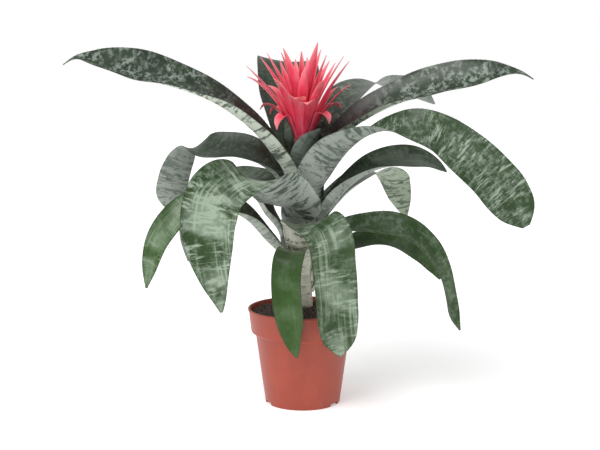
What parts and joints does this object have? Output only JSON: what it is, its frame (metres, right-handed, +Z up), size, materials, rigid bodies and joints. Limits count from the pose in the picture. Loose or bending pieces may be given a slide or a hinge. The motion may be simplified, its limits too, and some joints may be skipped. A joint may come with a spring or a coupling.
{
  "type": "potted bromeliad",
  "caption": "Live rosette plant with arching banded strap leaves and a pink bract flower head, in a round plastic nursery pot.",
  "frame": {"origin": "on the pot's axis, in the plane of the floor that the pot's foot ring stands on", "axes": "+Z up along the pot's axis, +X to the plant's right seen from its best side, +Y to its back"},
  "size_m": [0.4888, 0.3613, 0.3921],
  "materials": {
    "pot_plastic": "terracotta-coloured moulded plastic, satin",
    "potting_mix": "dark, moist, crumbly peat",
    "stem_tissue": "pale green plant tissue, matt",
    "leaf_tissue": "dark green waxy leaf with silvery scale bands, satin",
    "bract_tissue": "coral pink bract, soft satin"
  },
  "bodies": {
    "root": {"pot": "pot_plastic", "soil": "potting_mix", "stem": "stem_tissue", "leaf_front_low": "leaf_tissue", "leaf_left_low": "leaf_tissue", "leaf_right_low_back": "leaf_tissue", "leaf_right_low": "leaf_tissue", "leaf_front": "leaf_tissue", "leaf_left_back_low": "leaf_tissue", "leaf_back_left": "leaf_tissue", "leaf_back_right_low": "leaf_tissue", "leaf_front_left": "leaf_tissue", "leaf_right_mid": "leaf_tissue", "leaf_right": "leaf_tissue", "leaf_left": "leaf_tissue", "leaf_back_right": "leaf_tissue", "leaf_upper_left": "leaf_tissue", "leaf_upper_right": "leaf_tissue", "leaf_back": "leaf_tissue", "leaf_inner_front": "leaf_tissue", "leaf_inner_left": "leaf_tissue", "bract_01": "bract_tissue", "bract_02": "bract_tissue", "bract_03": "bract_tissue", "bract_04": "bract_tissue", "bract_05": "bract_tissue", "bract_06": "bract_tissue", "bract_07": "bract_tissue", "bract_08": "bract_tissue", "bract_09": "bract_tissue", "bract_10": "bract_tissue", "bract_11": "bract_tissue", "bract_12": "bract_tissue", "bract_13": "bract_tissue", "bract_14": "bract_tissue", "bract_15": "bract_tissue", "bract_16": "bract_tissue", "bract_17": "bract_tissue", "bract_18": "bract_tissue", "bract_19": "bract_tissue", "bract_20": "bract_tissue", "bract_21": "bract_tissue", "bract_22": "bract_tissue", "bract_23": "bract_tissue", "bract_24": "bract_tissue", "bract_25": "bract_tissue", "bract_26": "bract_tissue", "bract_27": "bract_tissue", "bract_28": "bract_tissue", "bract_29": "bract_tissue", "bract_30": "bract_tissue", "bract_31": "bract_tissue", "bract_32": "bract_tissue", "bract_33": "bract_tissue"}
  },
  "joints": []
}
